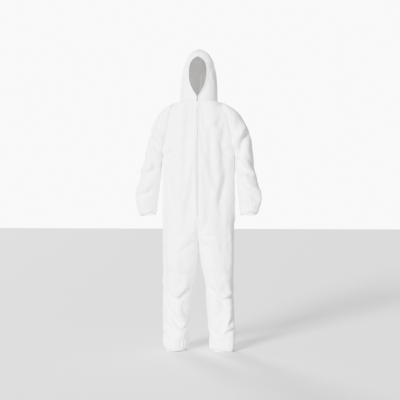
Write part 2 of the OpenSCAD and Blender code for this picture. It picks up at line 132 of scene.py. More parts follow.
# Hood: height, half width, front and back
HOOD_ROWS = [
    [1445, 109, -129, 88], [1480, 109, -126, 98], [1520, 108, -121, 112], [1560, 105, -117, 122],
    [1600, 100, -113, 128], [1640, 92, -108, 128], [1666, 87, -102, 123], [1685, 80, -95, 116],
    [1703, 69, -85, 105], [1720, 57, -70, 88], [1735, 39, -48, 66], [1744, 22, -26, 42],
    [1749.5, 5, -4, 16],
]

# Face opening: height and half width
FACE_ROWS = [
    [1446, 6.5], [1459, 7.5], [1480, 19], [1509, 33], [1538, 45.5], [1567, 53], [1600, 55.5],
    [1628, 54.4], [1654, 50], [1672, 41], [1687, 28], [1697, 12], [1700, 0],
]


# ---- smooth sections -----------------------------------------------------------------------

def smooth(table, at):
    """Every column of a table at heights `at`, by a monotone cubic through its rows."""
    rows = np.array(table, float)
    x, y = rows[:, 0], rows[:, 1:]
    at = np.clip(np.asarray(at, float), x[0], x[-1])
    step = np.diff(x)[:, None]
    slope = np.diff(y, axis=0) / step
    tangent = np.zeros_like(y)
    product = slope[:-1] * slope[1:]
    total = slope[:-1] + slope[1:] + 1e-12 * (product <= 0)    # never 0
    tangent[1:-1] = np.where(product > 0, 2 * product / total, 0)
    tangent[0], tangent[-1] = slope[0], slope[-1]
    k = np.clip(np.searchsorted(x, at, side="right") - 1, 0, len(x) - 2)
    h = step[k, 0]
    t = ((at - x[k]) / h)[..., None]
    h = h[..., None]
    found = ((2 * t**3 - 3 * t**2 + 1) * y[k] + (t**3 - 2 * t**2 + t) * h * tangent[k]
             + (3 * t**2 - 2 * t**3) * y[k + 1] + (t**3 - t**2) * h * tangent[k + 1])
    return np.moveaxis(found, -1, 0)


def signed_power(v, p):
    return np.sign(v) * np.abs(v) ** p


def oval(a, front, back, power, turn):
    """Superellipse: turn 0 is the front, a quarter turn the +X side and a half turn the back."""
    c = np.cos(turn)
    x = a * signed_power(np.sin(turn), 2 / power)
    y = -np.where(c > 0, front, back) * signed_power(c, 2 / power)
    return x, y


def turn_at_x(x, a, power):
    """The turn at which an oval of half width a is x wide."""
    return np.arcsin(np.clip(np.maximum(x, 0) / a, 0, 1) ** (power / 2))


def ease(v, low, high):
    """0 below low, 1 above high, and smooth between them."""
    t = np.clip((np.asarray(v, float) - low) / (high - low), 0, 1)
    return t * t * (3 - 2 * t)


def body_point(z, turn):
    w, back = smooth(BODY_ROWS, z)
    x, y = oval(w, FRONT_D, back, BODY_ROUND, turn)
    return np.stack([x, y, z], -1)


def leg_point(z, turn):
    cx, a, b = smooth(LEG_ROWS, z)
    x, y = oval(a, b, b, LEG_ROUND, turn)
    return np.stack([np.maximum(cx + x, 0), y, z], -1)


def leg_inner(z):
    """How far past the front centre a leg's cloth turns in: a quarter turn below the crotch."""
    cx, a, b = smooth(LEG_ROWS, z)
    return np.where(z > CROTCH_H, turn_at_x(cx, a, LEG_ROUND), math.pi / 2)


def armhole_x(z):
    """Where the armhole's flat plane lies at a height."""
    return np.interp(z, (ARMPIT[1], SHOULDER[1]), (ARMPIT[0], SHOULDER[0]))


def body_edge(z):
    """Outermost turn of the front and back cloth: the side seam, the armhole or the ridge."""
    w = smooth(BODY_ROWS, z)[0]
    hole = turn_at_x(armhole_x(z), w, BODY_ROUND)
    return np.where((z > ARMPIT[1]) & (z < SHOULDER[1]), hole, math.pi / 2)


def armhole_depth(z, behind):
    """How far the body reaches in front of or behind its middle where the armhole cuts it."""
    w, back = smooth(BODY_ROWS, z)
    share = np.clip(armhole_x(z) / w, 0, 1)
    return np.where(behind, back, FRONT_D) * (1 - share**BODY_ROUND) ** (1 / BODY_ROUND)


def sleeve_point(k, turn):
    """Sleeve ring k, which may lie between two rings: turn 0 is the outer edge, a quarter the front."""
    table = [[i, *r[0], *r[1], r[2]] for i, r in enumerate(SLEEVE_ROWS)]
    ox, oz, ix, iz, depth = smooth(table, k)
    c = np.cos(turn)
    x, z = (ox + ix) / 2 + (ox - ix) / 2 * c, (oz + iz) / 2 + (oz - iz) / 2 * c
    behind = np.sin(turn) < 0
    own = ease(k, 0, 3)
    hole = armhole_depth(armhole_mid + armhole_half * c, behind)
    deep = own * depth * np.abs(np.sin(turn)) + (1 - own) * hole
    return np.stack([x, np.where(behind, 1, -1) * deep, z], -1)


def hood_point(z, turn):
    w, front, back = smooth(HOOD_ROWS, z)
    mid, half = (front + back) / 2, (back - front) / 2
    x, y = oval(w, half, half, HOOD_ROUND, turn)
    return np.stack([x, mid + y, z], -1)


# ---- grids of points -----------------------------------------------------------------------

def even_along(points, n):
    """n + 1 points evenly spaced along a dense polyline."""
    lengths = np.concatenate([[0], np.cumsum(np.linalg.norm(np.diff(points, axis=0), axis=1))])
    want = np.linspace(0, lengths[-1], n + 1)
    return np.stack([np.interp(want, lengths, points[:, i]) for i in range(3)], -1)


QUARTER = 32              # columns of cloth in a quarter of the body
ARMHOLE_STEPS = 30        # rows of cloth up one side of an armhole
RIDGE_STEPS = 4           # rows of cloth up the shoulder seam
SLEEVE_STEPS = 56         # rows of cloth down a sleeve
HOOD_STEPS = 34           # rows of cloth up the hood
HIP_MIX = (690, 790)      # heights over which the two legs' shape becomes the body's
ZIP_START = (775, 785)    # heights over which the front's edges part to make room for the zip
DENSE = np.linspace(0, 1, 160)
HIP_H = 700               # top of the rows that are spaced for the legs
KNEE_ROWS = (70, 600)     # heights between which the legs' rows are widest apart
YOKE_H = 1403             # height at the middle of the row that meets the shoulder's tip

leg_heights = np.concatenate([
    np.linspace(HEM_H + 1, KNEE_ROWS[0], 9)[:-1], np.linspace(*KNEE_ROWS, 50)[:-1],
    np.linspace(KNEE_ROWS[1], CROTCH_H, 5), np.linspace(CROTCH_H, HIP_H, 9)[1:],
])
body_heights = np.linspace(HIP_H, ARMPIT[1], 42)[1:]
armhole_edges = armhole_mid - armhole_half * np.cos(np.linspace(0, math.pi, ARMHOLE_STEPS + 1))[1:]
armhole_centres = np.linspace(ARMPIT[1], YOKE_H, ARMHOLE_STEPS + 1)[1:]
ridge_x = np.linspace(SHOULDER[0], HOOD_HALF, RIDGE_STEPS + 1)[1:]
ridge_edges = np.interp(-ridge_x, [-150, -132, -109], [1435, 1441, 1445])
ridge_centres = np.linspace(YOKE_H, NECK_H, RIDGE_STEPS + 1)[1:]
ROW_CENTRES = np.concatenate([leg_heights, body_heights, armhole_centres, ridge_centres])
ROW_EDGES = np.concatenate([leg_heights, body_heights, armhole_edges, ridge_edges])

ARMPIT_ROW = len(leg_heights) + len(body_heights) - 1
SHOULDER_ROW = ARMPIT_ROW + ARMHOLE_STEPS
CROTCH_ROW = int(np.argmin(np.abs(leg_heights - CROTCH_H)))
WAIST_ROW = int(np.argmin(np.abs(ROW_CENTRES - WAIST_H)))
ZIP_ROW = int(np.argmin(np.abs(ROW_CENTRES - (ZIP_LOW - 8))))
HOOD_HEIGHTS = NECK_H + (HOOD_ROWS[-1][0] - NECK_H) * np.sin(np.linspace(0, math.pi / 2, HOOD_STEPS + 1))
FACE_ROW = int(np.argmax(HOOD_HEIGHTS >= FACE_ROWS[-1][0]))    # first row of the hood above the face


def quarter_row(centre, edge, behind):
    """One row of the left front or left back cloth, from the middle of the body to its outer edge."""
    u = DENSE
    level = ease(edge, 1395, 1425)    # the top rows level out early, to stay inside the armhole
    z = centre + (edge - centre) * ((1 - level) * u**2 + level * (2 - u) * u)
    start = turn_at_x(ZIP_HALF * ease(centre, *ZIP_START), 200, BODY_ROUND) * (not behind)
    turn = start + (float(body_edge(edge)) - start) * u
    turn = math.pi - turn if behind else turn
    body = body_point(z, turn)
    inner = leg_inner(z)
    leg_turn = -inner + (math.pi / 2 + inner) * u
    leg = leg_point(z, math.pi - leg_turn if behind else leg_turn)
    share = ease(z, *HIP_MIX)[:, None]
    return even_along(leg * (1 - share) + body * share, QUARTER)


def spread_out(grid):
    """Evens the crowded rows on top of the shoulder. The grid's own edges stay where they are."""
    row, col = np.indices(grid.shape[:2])
    share = 0.5 * (ease(row, len(grid) - 18, len(grid) - 10) * ease(col, 12, 22))[1:-1, 1:-1, None]
    for _ in range(40):
        around = (grid[:-2, 1:-1] + grid[2:, 1:-1] + grid[1:-1, :-2] + grid[1:-1, 2:]) / 4
        grid[1:-1, 1:-1] += share * (around - grid[1:-1, 1:-1])
    return grid


def body_grid(behind):
    """The left front or left back. Its columns run from the front's middle to the back's."""
    rows = [quarter_row(c, e, behind) for c, e in zip(ROW_CENTRES, ROW_EDGES)]
    turns = np.linspace(0, math.pi / 2, QUARTER + 1)
    x, y = oval(HOOD_HALF, FRONT_D - 1, NECK_BACK, BODY_ROUND, math.pi - turns if behind else turns)
    neck = np.stack([x, y, np.full_like(x, NECK_H)], -1)
    if not behind:
        neck[:, 0] = np.maximum(neck[:, 0], ZIP_HALF)
    rows[-1] = even_along(neck, QUARTER)
    grid = spread_out(np.array(rows))
    return grid[:, ::-1] if behind else grid


def sleeve_grid():
    """Rings down the left sleeve, closer together near the armhole."""
    turns = np.linspace(0, 2 * math.pi, 2 * ARMHOLE_STEPS + 1)
    rings = np.linspace(0, 1, SLEEVE_STEPS + 1) ** 0.92 * (len(SLEEVE_ROWS) - 1)
    return np.array([sleeve_point(np.full_like(turns, k), turns) for k in rings])


def face_edge(z):
    """The turn at which the hood's cloth starts, beside the face opening."""
    return turn_at_x(smooth(FACE_ROWS, z)[0], smooth(HOOD_ROWS, z)[0], HOOD_ROUND)


def hood_grid(neck_row):
    """neck_row is the body's top row, which the hood's first row repeats."""
    rows = [neck_row]
    for z in HOOD_HEIGHTS[1:]:
        start = float(face_edge(z))
        turn = start + (math.pi - start) * DENSE
        rows.append(even_along(hood_point(np.full_like(turn, z), turn), 2 * QUARTER))
    grid = np.array(rows)
    settle = ease(HOOD_HEIGHTS, NECK_H, 1500)[:, None, None]
    grid[..., :2] = neck_row[None, :, :2] * (1 - settle) + grid[..., :2] * settle
    grid[-1, :, 0] = 0    # the two halves meet over the crown
    return grid


# ---- the whole garment as one mesh ---------------------------------------------------------

def growth(z, zones):
    """Extra length cut into the cloth below each height, summed from the ground up."""
    total = np.zeros_like(z)
    for low, high, share in zones:
        total = total + share * (np.clip(z, low, high) - low)
    return total


# Extra length in the cloth: between two heights, and its share of that length
LEG_SLACK = [(30, 130, 0.16), (130, 330, 0.05), (330, 560, 0.05), (560, 760, 0.03), (760, 1150, 0.03)]
GIRTH_SLACK = 0.045       # share by which the cloth is cut wider than the suit is round
LEG_CUT = 84              # half width of the leg's cloth where the hem gathers it
SLEEVE_CUT = 56           # the same for the sleeve


def body_rest(points):
    """The size the cloth was cut to, a little longer and wider than the space it hangs in."""
    x, y, z = np.moveaxis(points, -1, 0)
    cx, half, _ = smooth(LEG_ROWS, z)
    cx = np.sign(x) * cx * (1 - ease(z, *HIP_MIX))
    gather = np.maximum(LEG_CUT / half, 1) - 1
    waist = 0.12 * np.exp(-((z - WAIST_H) / 30) ** 2) * (y > 0)
    wide = 1 + GIRTH_SLACK + np.where(z < 200, gather, 0) + waist
    return np.stack([cx + wide * (x - cx), y * wide, z + growth(z, LEG_SLACK)], -1)


def sleeve_rest(grid):
    """The same for a sleeve: its rings set further apart, and wider."""
    centre = (grid[:, :1] + grid[:, ARMHOLE_STEPS:ARMHOLE_STEPS + 1]) / 2
    along = np.diff(centre, axis=0, prepend=centre[:1])
    share = np.linspace(0, 1, len(grid))[:, None, None]
    slack = 0.03 + 0.05 * ease(share, 0.3, 0.5) + 0.12 * ease(share, 0.75, 0.95)
    half = np.linalg.norm(grid[:, :1] - centre, axis=-1, keepdims=True)
    wide = GIRTH_SLACK + np.where(share > 0.7, np.maximum(SLEEVE_CUT / half, 1) - 1, 0)
    return grid + np.cumsum(along * slack, axis=0) + wide * (grid - centre)


def hood_rest(grid):
    """A hood half is cut a little longer round the face, where its elastic gathers it."""
    share = np.linspace(0, 1, grid.shape[1])[None, :, None]
    middle = np.array([0, 0, 1580.0])
    return middle + (grid - middle) * (1.012 + 0.02 * (1 - ease(share, 0, 0.2)))


def lay_out():
    """Every panel's grid of points, and the same grid at the size that the cloth was cut to."""
    found = []
    front, back = body_grid(False), body_grid(True)
    neck_row = np.concatenate([front[-1], back[-1][1:]])
    sleeve, hood = sleeve_grid(), hood_grid(neck_row)
    for side, sign in SIDES:
        flip = np.array([sign, 1, 1])
        found.append((f"{side}_front", front * flip, body_rest(front * flip), sign))
        found.append((f"{side}_back", back * flip, body_rest(back * flip), sign))
        found.append((f"{side}_sleeve", sleeve * flip, sleeve_rest(sleeve * flip), sign))
        found.append((f"{side}_hood", hood * flip, hood_rest(hood * flip), sign))
    return found


def island(name):
    """Panels of one island share the vertices where they meet; islands only touch."""
    return name if "sleeve" in name else "hood" if "hood" in name else "body"


def garment():
    """One mesh of all the panels. Returns it with each panel's grid of vertex numbers."""
    keys, where, rest, numbers, faces = {}, [], [], {}, []
    for name, grid, cut, sign in lay_out():
        rows, cols = grid.shape[:2]
        index = np.empty((rows, cols), int)
        for r in range(rows):
            for c in range(cols):
                key = (island(name), *np.round(grid[r, c], 1))
                if key not in keys:
                    keys[key] = len(where)
                    where.append(grid[r, c])
                    rest.append(cut[r, c])
                index[r, c] = keys[key]
        numbers[name] = index
        for r in range(rows - 1):
            for c in range(cols - 1):
                quad = [index[r, c], index[r, c + 1], index[r + 1, c + 1], index[r + 1, c]]
                quad = list(dict.fromkeys(int(i) for i in quad))
                if len(quad) > 2:
                    faces.append(quad if sign > 0 else quad[::-1])
    mesh = bpy.data.meshes.new("garment")
    mesh.from_pydata([tuple(p) for p in np.array(where) * MM], [], faces)
    mesh.validate()
    whole = bpy.data.objects.new("garment", mesh)
    bpy.context.scene.collection.objects.link(whole)
    return whole, np.array(rest) * MM, numbers


def points_of(mesh):
    flat = np.empty(len(mesh.vertices) * 3)
    mesh.vertices.foreach_get("co", flat)
    return flat.reshape(-1, 3)


# ---- the cloth simulation ------------------------------------------------------------------

STEPS = 40                # frames that the cloth is given to settle
LOOSE, SOFT, FIRM, PINNED = 0.05, 0.3, 0.4, 1    # how firmly cloth is held


def shoulder_top(where):
    """1 on top of the shoulders, where the suit hangs from, and 0 away from them."""
    across, height = np.abs(where[:, 0]) / MM, where[:, 2] / MM
    return ease(height, 1350, 1420) * ease(across, 70, 110) * (height < NECK_H + 1)


def holds(where, numbers):
    """How firmly each vertex is held: 1 at the hems, the face's edge, the zip, the neck and armholes."""
    height = where[:, 2] / MM
    hold = np.full(len(where), LOOSE)
    hood = np.unique(np.concatenate([numbers[f"{side}_hood"].ravel() for side, _ in SIDES]))
    hold[hood] = 0.08 + 0.25 * ease(height[hood], 1660, 1740)
    hold = np.maximum(hold, FIRM * shoulder_top(where))
    for name, index in numbers.items():
        if "sleeve" in name:
            hold[index[[0, -1]]] = PINNED
            hold[index[1:3]] = np.maximum(hold[index[1:3]], SOFT)
        elif "hood" in name:
            hold[index[0]] = PINNED
            hold[index[:, 0]] = PINNED
        else:
            hold[index[[0, -1]]] = PINNED
            outer = -1 if "front" in name else 0
            hold[index[ARMPIT_ROW:SHOULDER_ROW + 1, outer]] = PINNED
            if "front" in name:
                hold[index[ROW_CENTRES > ZIP_LOW - 8, 0]] = PINNED
            else:
                hold[index[WAIST_ROW, 4:]] = SOFT
    return np.round(hold, 2)


# Creases seen from the front or the back: two ends as (x, height), depth and half width, all in
# millimetres, with x towards the wearer's left. Each is a groove with a soft ridge above it.
FRONT_FOLDS = [
    ((-188, 350), (-112, 306), 13, 9), ((-34, 388), (-112, 306), 10, 9),
    ((-186, 276), (-84, 132), 12, 12), ((-200, 158), (-110, 118), 9, 9), ((-84, 132), (-62, 170), 8, 8),
    ((-170, 470), (-70, 440), 6, 14), ((44, 398), (158, 276), 12, 13), ((206, 336), (138, 300), 10, 9),
    ((158, 112), (212, 146), 10, 8), ((60, 140), (100, 96), 7, 9), ((202, 214), (176, 150), 9, 9),
    ((60, 480), (150, 440), 6, 14), ((28, 670), (96, 676), 6, 7), ((-28, 668), (-92, 690), 5, 8),
    ((20, 640), (120, 560), 6, 13), ((-20, 640), (-110, 590), 6, 13),
    ((-170, 1020), (-120, 800), 7, 15), ((176, 1060), (120, 830), 8, 15),
    ((-60, 1300), (-70, 960), 5, 17), ((70, 1330), (82, 940), 6, 17),
    ((-190, 1120), (-120, 1180), 7, 11), ((192, 1118), (126, 1190), 8, 11),
    ((-150, 1380), (-96, 1290), 5, 13), ((150, 1384), (100, 1280), 5, 13),
    ((-306, 1292), (-222, 1150), 17, 15), ((-300, 1190), (-236, 1050), 11, 14),
    ((-342, 1010), (-246, 1060), 12, 12), ((-356, 892), (-262, 936), 11, 12),
    ((300, 1296), (228, 1150), 15, 15), ((222, 1120), (276, 1052), 12, 9),
    ((228, 1086), (312, 1030), 12, 10), ((346, 1000), (246, 1010), 12, 12),
    ((358, 886), (262, 946), 11, 12), ((250, 1200), (240, 1090), 7, 9),
]
BACK_FOLDS = [
    ((-160, 700), (-40, 650), 11, 12), ((160, 704), (40, 654), 11, 12),
    ((-180, 380), (-60, 350), 12, 10), ((180, 372), (60, 352), 12, 10),
    ((-60, 300), (-170, 262), 9, 11), ((70, 300), (176, 258), 9, 11), ((-178, 160), (-90, 112), 9, 10),
    ((176, 164), (88, 116), 9, 10), ((-190, 1110), (-60, 1180), 9, 13),
    ((190, 1114), (70, 1186), 9, 13), ((-110, 1390), (-130, 1190), 7, 15),
    ((112, 1390), (128, 1200), 7, 15), ((-60, 960), (-80, 760), 7, 15), ((66, 960), (82, 770), 7, 15),
    ((-280, 1240), (-232, 1130), 9, 10), ((284, 1240), (234, 1130), 9, 10),
    ((-330, 1060), (-240, 1020), 9, 9), ((330, 1066), (242, 1016), 9, 9),
    ((-350, 930), (-262, 900), 8, 9), ((350, 930), (262, 906), 8, 9),
]
FOLD_SCALE = 1.6          # how much deeper every fold starts than its table says
FOLD_WIDEN = 1.25         # and how much wider


def fold_depth(x, z, ends, depth, half):
    """How far a crease pushes the cloth out: a groove along its line, and a ridge on its upper side."""
    (x0, z0), (x1, z1) = ends
    dx, dz = x1 - x0, z1 - z0
    length = math.hypot(dx, dz)
    along = ((x - x0) * dx + (z - z0) * dz) / length
    off = ((x - x0) * dz - (z - z0) * dx) / length
    off = -off if dx > 0 else off
    half = half * FOLD_WIDEN
    taper = ease(along, -half, 0.3 * length) * (1 - ease(along, 0.7 * length, length + half))
    groove = np.exp(-(off / half) ** 2)
    ridge = np.exp(-((off - 1.9 * half) / (1.4 * half)) ** 2)
    return FOLD_SCALE * depth * taper * (0.75 * ridge - groove)


def folds_at(points, facing):
    """Creases and long soft drapes, in metres, before the cloth settles. facing is each normal's y."""
    x, y, z = points.T / MM
    total = np.zeros(len(points))
    for folds, side in ((FRONT_FOLDS, -1), (BACK_FOLDS, 1)):
        seen = ease(facing * side, 0.05, 0.5)
        for start, end, depth, half in folds:
            total += seen * fold_depth(x, z, (start, end), depth, half)
    drape = np.array([noise.noise(Vector((p[0] * 13, p[1] * 13, p[2] * 2.6))) for p in points]) * 15
    crumple = np.array([noise.noise(Vector(p) * 24 + Vector((5, 1, 9))) for p in points]) * 5
    hooded = 1 - 0.65 * ease(z, 1430, 1470)
    return (total + (drape + crumple) * hooded) * (1 - 0.9 * shoulder_top(points)) * MM


CLOTH_SETTINGS = {
    "quality": 5, "mass": 0.03, "air_damping": 2, "tension_stiffness": 50,
    "compression_stiffness": 50, "shear_stiffness": 20, "bending_stiffness": 0.8,
    "tension_damping": 8, "compression_damping": 8, "shear_damping": 8, "bending_damping": 0.6,
    "vertex_group_mass": "hold", "pin_stiffness": 1, "use_pressure": True,
    "uniform_pressure_force": 0.12,
}


def crease(whole, rest, hold):
    """Lets the cloth, cut larger than its space, buckle into folds, and keeps the result."""
    start = points_of(whole.data)
    normals = np.empty(len(start) * 3)
    whole.data.vertex_normals.foreach_get("vector", normals)
    normals = normals.reshape(-1, 3)
    shaken = start + normals * (folds_at(start, normals[:, 1]) * (hold < 1))[:, None]
    whole.shape_key_add(name="Basis")
    key = whole.shape_key_add(name="rest")
    key.data.foreach_set("co", rest.ravel())
    whole.data.vertices.foreach_set("co", shaken.ravel())
    whole.data.shape_keys.key_blocks["Basis"].data.foreach_set("co", shaken.ravel())
    group = whole.vertex_groups.new(name="hold")
    for level in np.unique(hold):
        group.add([int(i) for i in np.flatnonzero(hold == level)], float(level), "REPLACE")
    cloth = whole.modifiers.new("cloth", "CLOTH")
    for name, value in CLOTH_SETTINGS.items():
        setattr(cloth.settings, name, value)
    cloth.settings.rest_shape_key = key
    cloth.collision_settings.use_collision = False
    scene = bpy.context.scene
    scene.frame_start, scene.frame_end = 1, STEPS
    cloth.point_cache.frame_start, cloth.point_cache.frame_end = 1, STEPS
    for step in range(1, STEPS + 1):
        scene.frame_set(step)
    evaluated = whole.evaluated_get(bpy.context.evaluated_depsgraph_get())
    settled = points_of(evaluated.data).copy()
    scene.frame_set(1)
    whole.modifiers.clear()
    whole.shape_key_clear()
    whole.data.vertices.foreach_set("co", settled.ravel())
    return start, settled


def overhung(points, numbers):
    """Lets the cloth just above each hem sag down over it."""
    x, y, z = points.T / MM
    drop = np.zeros(len(points))
    sleeves = np.zeros(len(points), bool)
    for side, _ in SIDES:
        sleeves[numbers[f"{side}_sleeve"]] = True
    hems = ((ANKLE_X, ANKLE_R, HEM_H, 17, ~sleeves), (WRIST_X, WRIST_R, WRIST_TOP, 14, sleeves))
    for centre, radius, top, most, cloth in hems:
        out = np.hypot(np.abs(x) - centre, y) - radius
        drop += cloth * most * ease(out, 0.5, 9) * (1 - ease(z, top + 2, top + 46)) * (z > top - 12)
    sagged = points.copy()
    sagged[:, 2] -= drop * MM
    return sagged


def calmed(start, settled):
    """The settled points, with the cloth left smooth round the top of each armhole, where seams meet."""
    tip = np.array([SHOULDER[0], 0, SHOULDER[1]]) * MM
    away = np.linalg.norm((start * [0, 1, 1] + np.abs(start) * [1, 0, 0]) - tip, axis=1)
    calm = 1 - ease(away, 0.1, 0.19)
    return settled + (start - settled) * calm[:, None]


REACH = np.array([0.026, 0.014, 0.04])    # how far cloth may stand out of the CAD model's box


def tamed(start, settled):
    """The settled points, kept close to the box that the CAD model fills."""
    low, high = np.array(cad_box[0]) - REACH, np.array(cad_box[1]) + REACH
    low[2] = start[:, 2].min()
    soft = 0.004
    over = np.maximum(settled - (high - soft), 0)
    under = np.maximum((low + soft) - settled, 0)
    kept = settled - over + soft * np.tanh(over / soft) + under - soft * np.tanh(under / soft)
    return kept


# ---- finer grids and closed shells ---------------------------------------------------------

def finer(grid, row_factor, col_factor, ring=False):
    """The same surface on a finer grid, through every point, by Catmull-Rom curves."""
    for axis, factor in ((0, row_factor), (1, col_factor)):
        if factor == 1:
            continue
        g = np.moveaxis(grid, axis, 0)
        if ring and axis == 1:
            ends = g[-2:-1], g[1:2]
        else:
            ends = 2 * g[:1] - g[1:2], 2 * g[-1:] - g[-2:-1]
        p = np.concatenate([ends[0], g, ends[1]])
        at = np.linspace(0, len(g) - 1, (len(g) - 1) * factor + 1)
        k = np.minimum(at.astype(int), len(g) - 2)
        t = (at - k).reshape(-1, *[1] * (g.ndim - 1))
        a, b, c, d = p[k], p[k + 1], p[k + 2], p[k + 3]
        g = b + 0.5 * t * (c - a + t * (2 * a - 5 * b + 4 * c - d + t * (3 * (b - c) + d - a)))
        grid = np.moveaxis(g, 0, axis)
    return grid


def unit(v):
    return v / np.maximum(np.linalg.norm(v, axis=-1, keepdims=True), 1e-12)


def normals_of(grid, sign, ring=False):
    """Outward normals of a grid whose rows go round the wearer's left and whose columns go up."""
    around, up = np.gradient(grid, axis=1), np.gradient(grid, axis=0)
    if ring:
        around[:, 0] = around[:, -1] = (grid[:, 1] - grid[:, -2]) / 2
    return unit(np.cross(around, up)) * sign


def flat_of(grid):
    """Each point's place on the flat cloth in metres: across along its row, and up."""
    across = np.linalg.norm(np.diff(grid, axis=1), axis=-1)
    across = np.pad(np.cumsum(across, axis=1), ((0, 0), (1, 0)))
    up = np.linalg.norm(np.diff(grid, axis=0), axis=-1).mean(axis=1)
    up = np.pad(np.cumsum(up), (1, 0))
    return np.stack([across, np.broadcast_to(up[:, None], across.shape)], -1)


def new_mesh(name, points, faces, materials, flat=None, slots=None, flat_faces=()):
    """A linked object. flat gives each vertex its place on the cloth, slots each face its material."""
    mesh = bpy.data.meshes.new(name)
    mesh.from_pydata([tuple(p) for p in points], [], faces)
    mesh.polygons.foreach_set("use_smooth", [True] * len(mesh.polygons))
    for face in flat_faces:
        mesh.polygons[face].use_smooth = False
    if slots is not None:
        mesh.polygons.foreach_set("material_index", slots)
    for material in materials:
        mesh.materials.append(material)
    layer = mesh.uv_layers.new(name="Flat")
    if flat is not None:
        corners = np.empty(len(mesh.loops), int)
        mesh.loops.foreach_get("vertex_index", corners)
        layer.data.foreach_set("uv", np.asarray(flat)[corners].ravel())
    piece = bpy.data.objects.new(name, mesh)
    bpy.context.scene.collection.objects.link(piece)
    return piece


def shell(name, grid, normals, flat, sign, materials):
    """A closed panel: the grid is its outer face, and its inner face lies one cloth's thickness in."""
    rows, cols = grid.shape[:2]
    points = np.concatenate([grid.reshape(-1, 3), (grid - normals * CLOTH_T).reshape(-1, 3)])
    n = rows * cols
    at = np.arange(n).reshape(rows, cols)
    a, b, c, d = (at[:-1, :-1], at[:-1, 1:], at[1:, 1:], at[1:, :-1])
    outer = np.stack([a, b, c, d], -1).reshape(-1, 4)
    inner = outer[:, ::-1] + n
    rim = np.concatenate([at[0], at[1:, -1], at[-1, -2::-1], at[-2:0:-1, 0]])
    after = np.roll(rim, -1)
    wall = np.stack([after, rim, rim + n, after + n], -1)
    faces = np.concatenate([outer, inner, wall])
    if sign < 0:
        faces = faces[:, ::-1]
    # The inner faces take the second material, the darker copy painted as shade.
    slots = np.repeat([0, 1, 0], [len(outer), len(inner), len(wall)])
    first_wall = len(outer) + len(inner)
    return new_mesh(name, points, faces.tolist(), materials, np.tile(flat.reshape(-1, 2), (2, 1)), slots,
                    range(first_wall, len(faces)))


def sweep(name, path, outs, section, material, wrap=False, swell=None):
    """A section of (across, out) millimetres carried along a path, with its ends closed."""
    path = np.asarray(path)
    if wrap:
        along = unit(np.roll(path, -1, 0) - np.roll(path, 1, 0))
    else:
        along = unit(np.gradient(path, axis=0))
    across = unit(np.cross(along, outs))
    outs = unit(np.cross(across, along))
    section = np.asarray(section, float) * MM
    swell = np.ones(len(path)) if swell is None else swell
    rings = (path[:, None] + across[:, None] * section[None, :, :1]
             + outs[:, None] * (section[None, :, 1:] * swell[:, None, None]))
    n, m = rings.shape[:2]
    at = np.arange(n * m).reshape(n, m)
    here, there = (at, np.roll(at, -1, 0)) if wrap else (at[:-1], at[1:])
    quads = np.stack([here, np.roll(here, -1, 1), np.roll(there, -1, 1), there], -1).reshape(-1, 4)
    faces = quads.tolist()
    if not wrap:
        faces += [at[0][::-1].tolist(), at[-1].tolist()]
    length = np.pad(np.cumsum(np.linalg.norm(np.diff(path, axis=0), axis=1)), (1, 0))
    girth = np.pad(np.cumsum(np.linalg.norm(np.diff(section, axis=0), axis=1)), (1, 0))
    flat = np.stack(np.broadcast_arrays(length[:, None], girth[None]), -1).reshape(-1, 2)
    return new_mesh(name, rings.reshape(-1, 3), faces, [material], flat,
                    flat_faces=() if wrap else (len(faces) - 2, len(faces) - 1))


def resampled(path, outs, step):
    """A path and its outward directions at an even step in metres."""
    lengths = np.pad(np.cumsum(np.linalg.norm(np.diff(path, axis=0), axis=1)), (1, 0))
    want = np.linspace(0, lengths[-1], max(int(round(lengths[-1] / step)), 2) + 1)
    def through(v):
        return np.stack([np.interp(want, lengths, v[:, i]) for i in range(3)], -1)
    return through(path), unit(through(outs)), want


# ---- materials -----------------------------------------------------------------------------

def new_material(name, colour, roughness):
    material = bpy.data.materials.new(name)
    material.use_nodes = True
    nodes = material.node_tree.nodes
    shader = nodes["Principled BSDF"]
    shader.inputs["Base Color"].default_value = (*colour, 1)
    shader.inputs["Roughness"].default_value = roughness
    return material, nodes, material.node_tree.links, shader


def flat_vector(nodes, links, scale, turn=0.0):
    """Places on the flat cloth, in units of 1 / scale metres."""
    place = nodes.new("ShaderNodeUVMap")
    place.uv_map = "Flat"
    mapping = nodes.new("ShaderNodeMapping")
    mapping.inputs["Scale"].default_value = (scale, scale, scale)
    mapping.inputs["Rotation"].default_value = (0, 0, turn)
    links.new(place.outputs["UV"], mapping.inputs["Vector"])
    return mapping.outputs["Vector"]


def mottle(nodes, links, vector, detail, rough=0.5):
    """Cloudy noise, about 0 to 1, over the places given."""
    found = nodes.new("ShaderNodeTexNoise")
    found.noise_dimensions = "2D"
    found.inputs["Scale"].default_value = 1
    found.inputs["Detail"].default_value = detail
    found.inputs["Roughness"].default_value = rough
    links.new(vector, found.inputs["Vector"])
    return found.outputs["Fac"]


def remap(nodes, links, value, low, high, to_low, to_high):
    found = nodes.new("ShaderNodeMapRange")
    for socket, number in zip(("From Min", "From Max", "To Min", "To Max"), (low, high, to_low, to_high)):
        found.inputs[socket].default_value = number
    links.new(value, found.inputs["Value"])
    return found.outputs["Result"]


def tint(nodes, links, value, dark, light):
    mix = nodes.new("ShaderNodeMix")
    mix.data_type = "RGBA"
    mix.inputs["A"].default_value = (*dark, 1)
    mix.inputs["B"].default_value = (*light, 1)
    links.new(value, mix.inputs["Factor"])
    return mix.outputs["Result"]


def relief(nodes, links, layers, shader):
    """Bump from several (height socket, millimetres, strength) layers."""
    normal = None
    for height, depth, strength in layers:
        bump = nodes.new("ShaderNodeBump")
        bump.inputs["Distance"].default_value = depth * MM
        bump.inputs["Strength"].default_value = strength
        links.new(height, bump.inputs["Height"])
        if normal is not None:
            links.new(normal, bump.inputs["Normal"])
        normal = bump.outputs["Normal"]
    links.new(normal, shader.inputs["Normal"])


POINT_PITCH = 2.4         # millimetres between the nonwoven's embossed points


